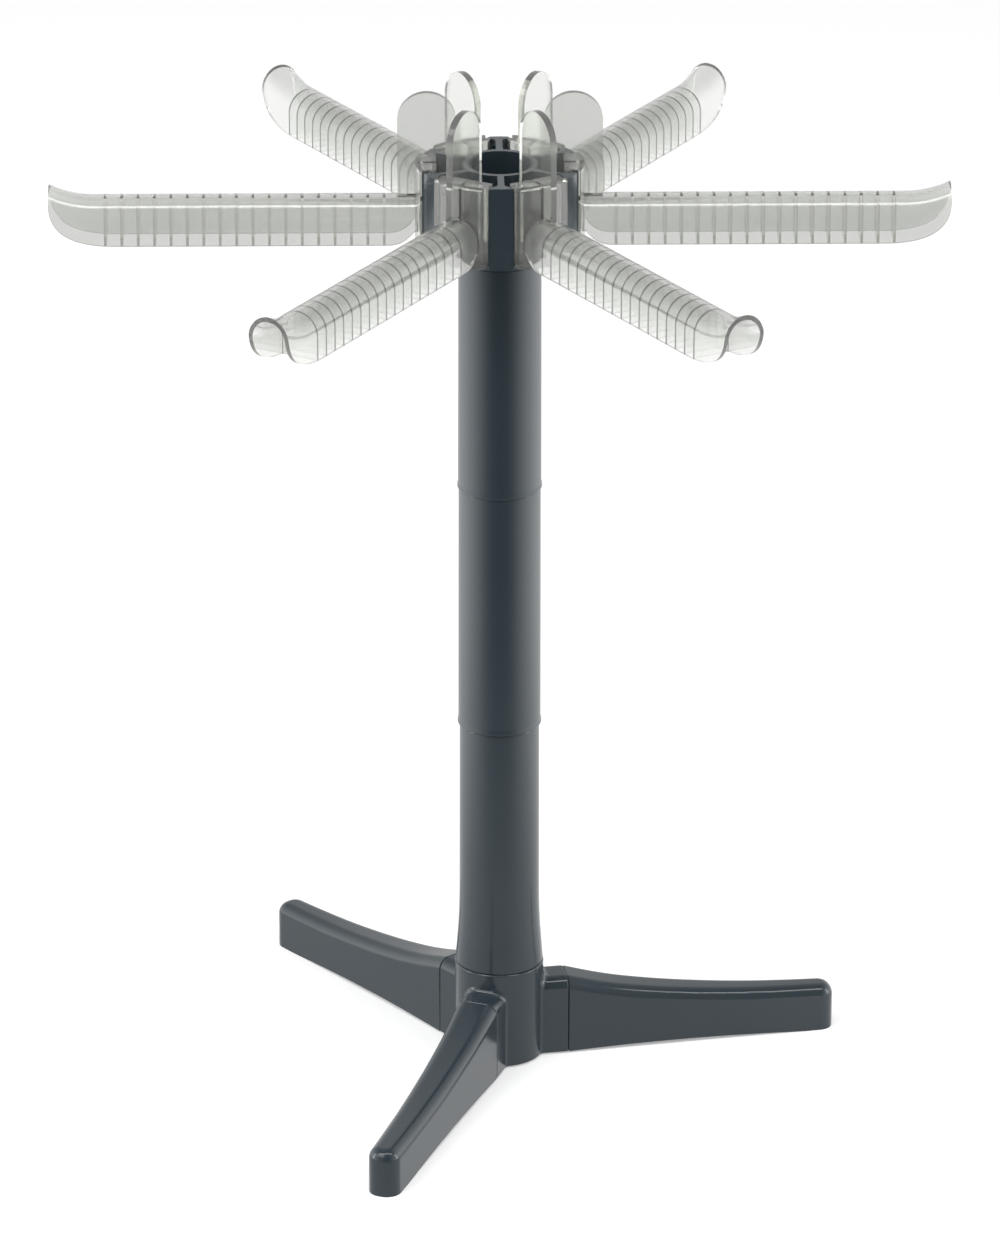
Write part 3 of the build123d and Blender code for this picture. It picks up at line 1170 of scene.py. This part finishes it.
@dataclass
class Head(SubAssembly):
    """Post with six T ribs and a floor, which form the slots for the arms."""

    floor: float = 34.9 * MM
    floor_thickness: float = 2.0 * MM
    floor_turn: float = 1.5
    neck: float = 7.05 * MM
    corner: float = 2.0 * MM
    flare: float = 3.0 * MM
    corner_steps: int = 6

    def web(self, low: float, high: float) -> Blank:
        """Web of a rib along +X, which flares softly into its flange.

        Args:
            low: Height of its foot.
            high: Height of its top.

        Returns:
            The web.
        """
        half, reach = FITS.web / 2, FITS.flange_inner - self.flare
        middle = (FITS.flange_inner + FITS.flange_outer) / 2
        centre = (sqrt(reach ** 2 - (half + self.flare) ** 2), half + self.flare)
        edge = [
            ((FITS.bore + FITS.post) / 2, half),
            *arc(self.flare, -pi / 2, atan2(centre[1], centre[0]), self.corner_steps, centre),
        ]
        edge.append((middle, edge[-1][1]))
        return Blank.prism([(x, -y) for x, y in edge] + edge[::-1], low, high)

    def rib(self, low: float, high: float) -> Blank:
        """One T rib along +X.

        Args:
            low: Height of its foot.
            high: Height of its top.

        Returns:
            The rib, flange and web together.
        """
        half, corner, steps = FITS.flange_width / 2, self.corner, self.corner_steps
        face = [
            (half, low),
            *arc(corner, 0, pi / 2, steps, (half - corner, high - corner)),
            *arc(corner, pi / 2, pi, steps, (corner - half, high - corner)),
            (-half, low),
        ]
        window = Blank.plate(face, 2 * FITS.flange_outer + FITS.overrun).turn(90)
        shell = Blank.ring(FITS.flange_outer, FITS.flange_inner, low, high)
        side = Blank.slab(0, FITS.flange_outer + FITS.overrun, 2 * FITS.flange_width, low, high)
        return shell.keep(side).join(self.web(low, high)).keep(window)

    def build(self) -> list[bpy.types.Object]:
        """Builds the head.

        Returns:
            The head alone.
        """
        low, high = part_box(Part.HEAD.value)
        foot = low[2] + self.neck
        body = Blank.ring(FITS.post, FITS.bore, low[2], high[2])
        floor = Blank.ring(self.floor, (FITS.bore + FITS.post) / 2, foot, foot + self.floor_thickness)
        body.join(floor.turn(self.floor_turn))
        pattern = self.rib(foot, high[2])
        for index in range(FITS.arms):
            body.join(pattern.copy().turn((index + 0.5) * 360 / FITS.arms))
        pattern.discard()
        return [self.place(body, Part.HEAD.value)]


@dataclass
class ClearArms(SubAssembly):
    """Six clear arms, each a shoe, a ribbed channel bar and a finger tab in one moulding."""

    edge_round: float = 0.45 * MM
    slot_gap: float = 0.3 * MM
    web_gap: float = 2.4 * MM
    shoe_back: float = 28.3 * MM
    panel: float = 37.8 * MM
    panel_wall: float = 2.6 * MM
    panel_drop: float = 1.9 * MM
    panel_corner: float = 3.5 * MM
    shoe_wall: float = 2.0 * MM
    shoe_deck: float = 2.3 * MM
    shoe_height: float = 36.2 * MM
    reach: float = 200.0 * MM
    width: float = 19.8 * MM
    height: float = 20.9 * MM
    wall: float = 1.9 * MM
    ridge_drop: float = 14.9 * MM
    lip_rise: float = 4.7 * MM
    lip_length: float = 20.0 * MM
    prow_length: float = 29.5 * MM
    prow_height: float = 19.0 * MM
    prow_foot_share: float = 0.34
    prow_front_share: float = 0.32
    relief_length: float = 13.0 * MM
    relief_height: float = 6.5 * MM
    relief_shares: tuple = (0.33, 0.25, 0.5)
    pitch: float = 7.27 * MM
    diaphragm: float = 1.2 * MM
    first_inset: float = 25.0 * MM
    last_gap: float = 12.0 * MM
    tab_inner: float = 19.4 * MM
    tab_width: float = 26.1 * MM
    tab_thickness: float = 3.2 * MM
    tab_height: float = 32.4 * MM
    tab_sink: float = 3.3 * MM
    hook_steps: int = 3
    panel_steps: int = 8
    corner_steps: int = 6
    arch_steps: int = 32
    lip_steps: int = 12
    relief_steps: int = 10
    prow_steps: int = 20
    tab_steps: int = 28
    names: tuple = (
        "arm_right", "arm_rear_right", "arm_rear_left", "arm_left", "arm_front_left", "arm_front_right"
    )

    def __post_init__(self) -> None:
        """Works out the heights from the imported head."""
        self.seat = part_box(Part.HEAD.value)[0][2] + Head.neck + Head.floor_thickness
        self.shoe_top = self.seat + self.shoe_height
        self.ridge = self.shoe_top - self.ridge_drop
        self.foot = self.ridge - self.height

    def slot_plan(self, inset: float) -> list[Point]:
        """Plan of the shoe between two T ribs.

        Args:
            inset: How far the plan is drawn in, which is a wall or nothing.

        Returns:
            The plan's points.
        """
        back = self.shoe_back + inset
        outer = self.panel - (self.panel_wall if inset else 0)
        hook = FITS.flange_inner - self.slot_gap - inset
        web = FITS.web / 2 + self.web_gap + inset
        flange = FITS.flange_width / 2 + self.slot_gap + inset
        half = pi / FITS.arms

        def side(radius: float, offset: float) -> float:
            """Angle at which a rib's side line crosses a radius."""
            return half - asin(offset / radius)

        width = (back - web * sin(half)) * sin(half) / cos(half) - web * cos(half)
        start = min(side(hook, web), acos(back / hook))
        corner = [(back, width)] if hook * cos(start) > back + TINY else []
        edge = [
            *corner,
            *arc(hook, start, side(hook, flange), self.hook_steps),
            *arc(outer, side(outer, flange), 0, self.panel_steps),
        ]
        return [(x, -y) for x, y in edge] + edge[-2::-1]

    def window(self) -> Blank:
        """Prism along X through the panel, whose lower corners are round.

        Returns:
            The prism.
        """
        steps = self.corner_steps
        flange = FITS.flange_width / 2 + self.slot_gap
        half = self.panel * sin(pi / FITS.arms - asin(flange / self.panel))
        low, corner = self.seat - self.panel_drop, self.panel_corner
        outline = [
            (half, self.shoe_top + FITS.overrun),
            (-half, self.shoe_top + FITS.overrun),
            *arc(corner, pi, 1.5 * pi, steps, (corner - half, low + corner)),
            *arc(corner, 1.5 * pi, FULL_TURN, steps, (half - corner, low + corner)),
        ]
        return Blank.plate(outline, 3 * self.panel).turn(90)

    def shoe(self) -> Blank:
        """Makes the closed-top shoe with its outer panel.

        Returns:
            The shoe.
        """
        inside = self.panel - self.panel_wall
        low = self.seat - self.panel_drop
        panel = Blank.prism(self.slot_plan(0), low, self.shoe_top)
        panel.cut(Blank.drum(inside, low - FITS.overrun, self.shoe_top + FITS.overrun))
        panel.keep(self.window())
        body = Blank.prism(self.slot_plan(0), self.seat, self.shoe_top)
        body.keep(Blank.drum(inside + self.panel_wall / 4, self.seat, self.shoe_top))
        body.join(panel)
        return body.cut(Blank.prism(
            self.slot_plan(self.shoe_wall), self.seat - FITS.overrun, self.shoe_top - self.shoe_deck
        ))

    def channel(self, width: float, height: float, drop: float, start: float) -> Blank:
        """Arch section drawn along +X and swept upward at its end.

        Args:
            width: Width of the section.
            height: Height of the section.
            drop: How far its ridge lies below the bar's.
            start: Where it starts.

        Returns:
            The solid channel.
        """
        radius = width / 2
        spring = self.ridge - drop - radius
        foot = self.ridge - drop - height
        section = [*arc(radius, 0, pi, self.arch_steps, (0, spring)), (-radius, foot), (radius, foot)]
        bend = (self.lip_length ** 2 + self.lip_rise ** 2) / (2 * self.lip_rise)
        bend_start = self.reach - self.lip_length
        pivot = (bend_start, 0, self.ridge + bend)
        step_turn = asin((self.lip_length + FITS.overrun) / bend) / self.lip_steps
        mesh = bmesh.new()
        face = mesh.faces.new([mesh.verts.new((start, y, z)) for y, z in section])
        for step in range(self.lip_steps + 1):
            grown = bmesh.ops.extrude_face_region(mesh, geom=[face])["geom"]
            verts = [item for item in grown if isinstance(item, bmesh.types.BMVert)]
            if step == 0:
                bmesh.ops.translate(mesh, verts=verts, vec=(bend_start - start, 0, 0))
            else:
                turn = Matrix.Rotation(-step_turn, 3, "Y")
                bmesh.ops.rotate(mesh, verts=verts, cent=pivot, matrix=turn)
                bmesh.ops.delete(mesh, geom=[face], context="FACES_ONLY")
            face = next(item for item in grown if isinstance(item, bmesh.types.BMFace))
        return Blank(mesh)

    def side_view(self, start: float) -> list[Point]:
        """Side view of the bar: relieved root, level foot and curved prow.

        Args:
            start: Where the bar starts.

        Returns:
            The outline's points.
        """
        prow = [
            (self.reach - self.prow_length, self.foot),
            (self.reach - self.prow_length * self.prow_foot_share, self.foot),
            (self.reach, self.foot + self.prow_height * self.prow_front_share),
            (self.reach, self.foot + self.prow_height),
        ]
        start_share, drop_share, end_share = self.relief_shares
        relief = [
            (self.panel, self.foot + self.relief_height),
            (
                self.panel + self.relief_length * start_share,
                self.foot + self.relief_height * drop_share,
            ),
            (self.panel + self.relief_length * end_share, self.foot),
            (self.panel + self.relief_length, self.foot),
        ]
        top = self.ridge + self.lip_rise + FITS.overrun
        return [
            *bezier(relief, self.relief_steps),
            *bezier(prow, self.prow_steps),
            (self.reach, top),
            (start, top),
            (start, self.foot + self.relief_height),
        ]

    def diaphragms(self) -> Blank:
        """Row of thin plates across the bar.

        Returns:
            The plates as one tool.
        """
        mesh = bmesh.new()
        size = self.width + FITS.overrun
        place = self.reach - self.first_inset
        while place > self.panel + self.last_gap:
            middle = Matrix.Translation((place, 0, self.ridge - self.height / 2))
            scale = Matrix.Diagonal((self.diaphragm, size, 3 * self.height, 1))
            bmesh.ops.create_cube(mesh, size=1.0, matrix=middle @ scale)
            place -= self.pitch
        return Blank(mesh)

    def bar(self) -> Blank:
        """Makes the channel bar with its row of diaphragms.

        Returns:
            The bar.
        """
        start = self.panel - self.panel_wall + FITS.edge_round
        body = self.channel(self.width, self.height + FITS.overrun, 0, start)
        body.keep(Blank.plate(self.side_view(start), self.width + FITS.overrun))
        inner = self.width - 2 * self.wall
        hollow = self.channel(inner, self.height + 2 * FITS.overrun, self.wall, start - FITS.overrun)
        return body.cut(hollow.cut(self.diaphragms()))

    def tab(self) -> Blank:
        """Makes the finger tab with a round top, which runs on down the slot as a fin.

        Returns:
            The tab.
        """
        outer = self.tab_inner + self.tab_width
        radius = self.tab_width / 2
        spring = self.shoe_top + self.tab_height - radius
        inside = self.panel - self.panel_wall / 2
        deck = self.shoe_top - self.shoe_deck / 2
        back = self.shoe_back + self.shoe_wall / 2
        outline = [
            *arc(radius, 0, pi, self.tab_steps, (outer - radius, spring)),
            (self.tab_inner, self.seat),
            (back, self.seat),
            (back, deck),
            (inside, deck),
            (inside, self.ridge - self.tab_sink),
            (outer, self.ridge - self.tab_sink),
        ]
        return Blank.plate(outline, self.tab_thickness)

    def build(self) -> list[bpy.types.Object]:
        """Builds the six arms from one pattern.

        Returns:
            The arms.
        """
        pattern = self.shoe().join(self.bar()).join(self.tab())
        pieces = [
            self.place(pattern.copy().turn(index * 360 / FITS.arms), name)
            for index, name in enumerate(self.names)
        ]
        pattern.discard()
        return pieces


def main() -> None:
    """Builds every sub-assembly in order."""
    logging.basicConfig(level=logging.INFO)
    PhotoCamera().build()
    Studio().build()
    slate = SlatePlastic("slate_plastic").material()
    clear = ClearPlastic("clear_plastic").material()
    assemblies = [
        Base(slate, Slot.DARK),
        Column(slate, Slot.DARK),
        Head(slate, Slot.DARK),
        ClearArms(clear, Slot.CLEAR),
    ]
    for assembly in assemblies:
        pieces = assembly.build()
        LOG.info("%s holds %d pieces", type(assembly).__name__, len(pieces))
    for name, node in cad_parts.items():
        node.data.materials.clear()
        node.data.materials.append(clear if name.startswith("arm") else slate)


if __name__ == "__main__":
    main()
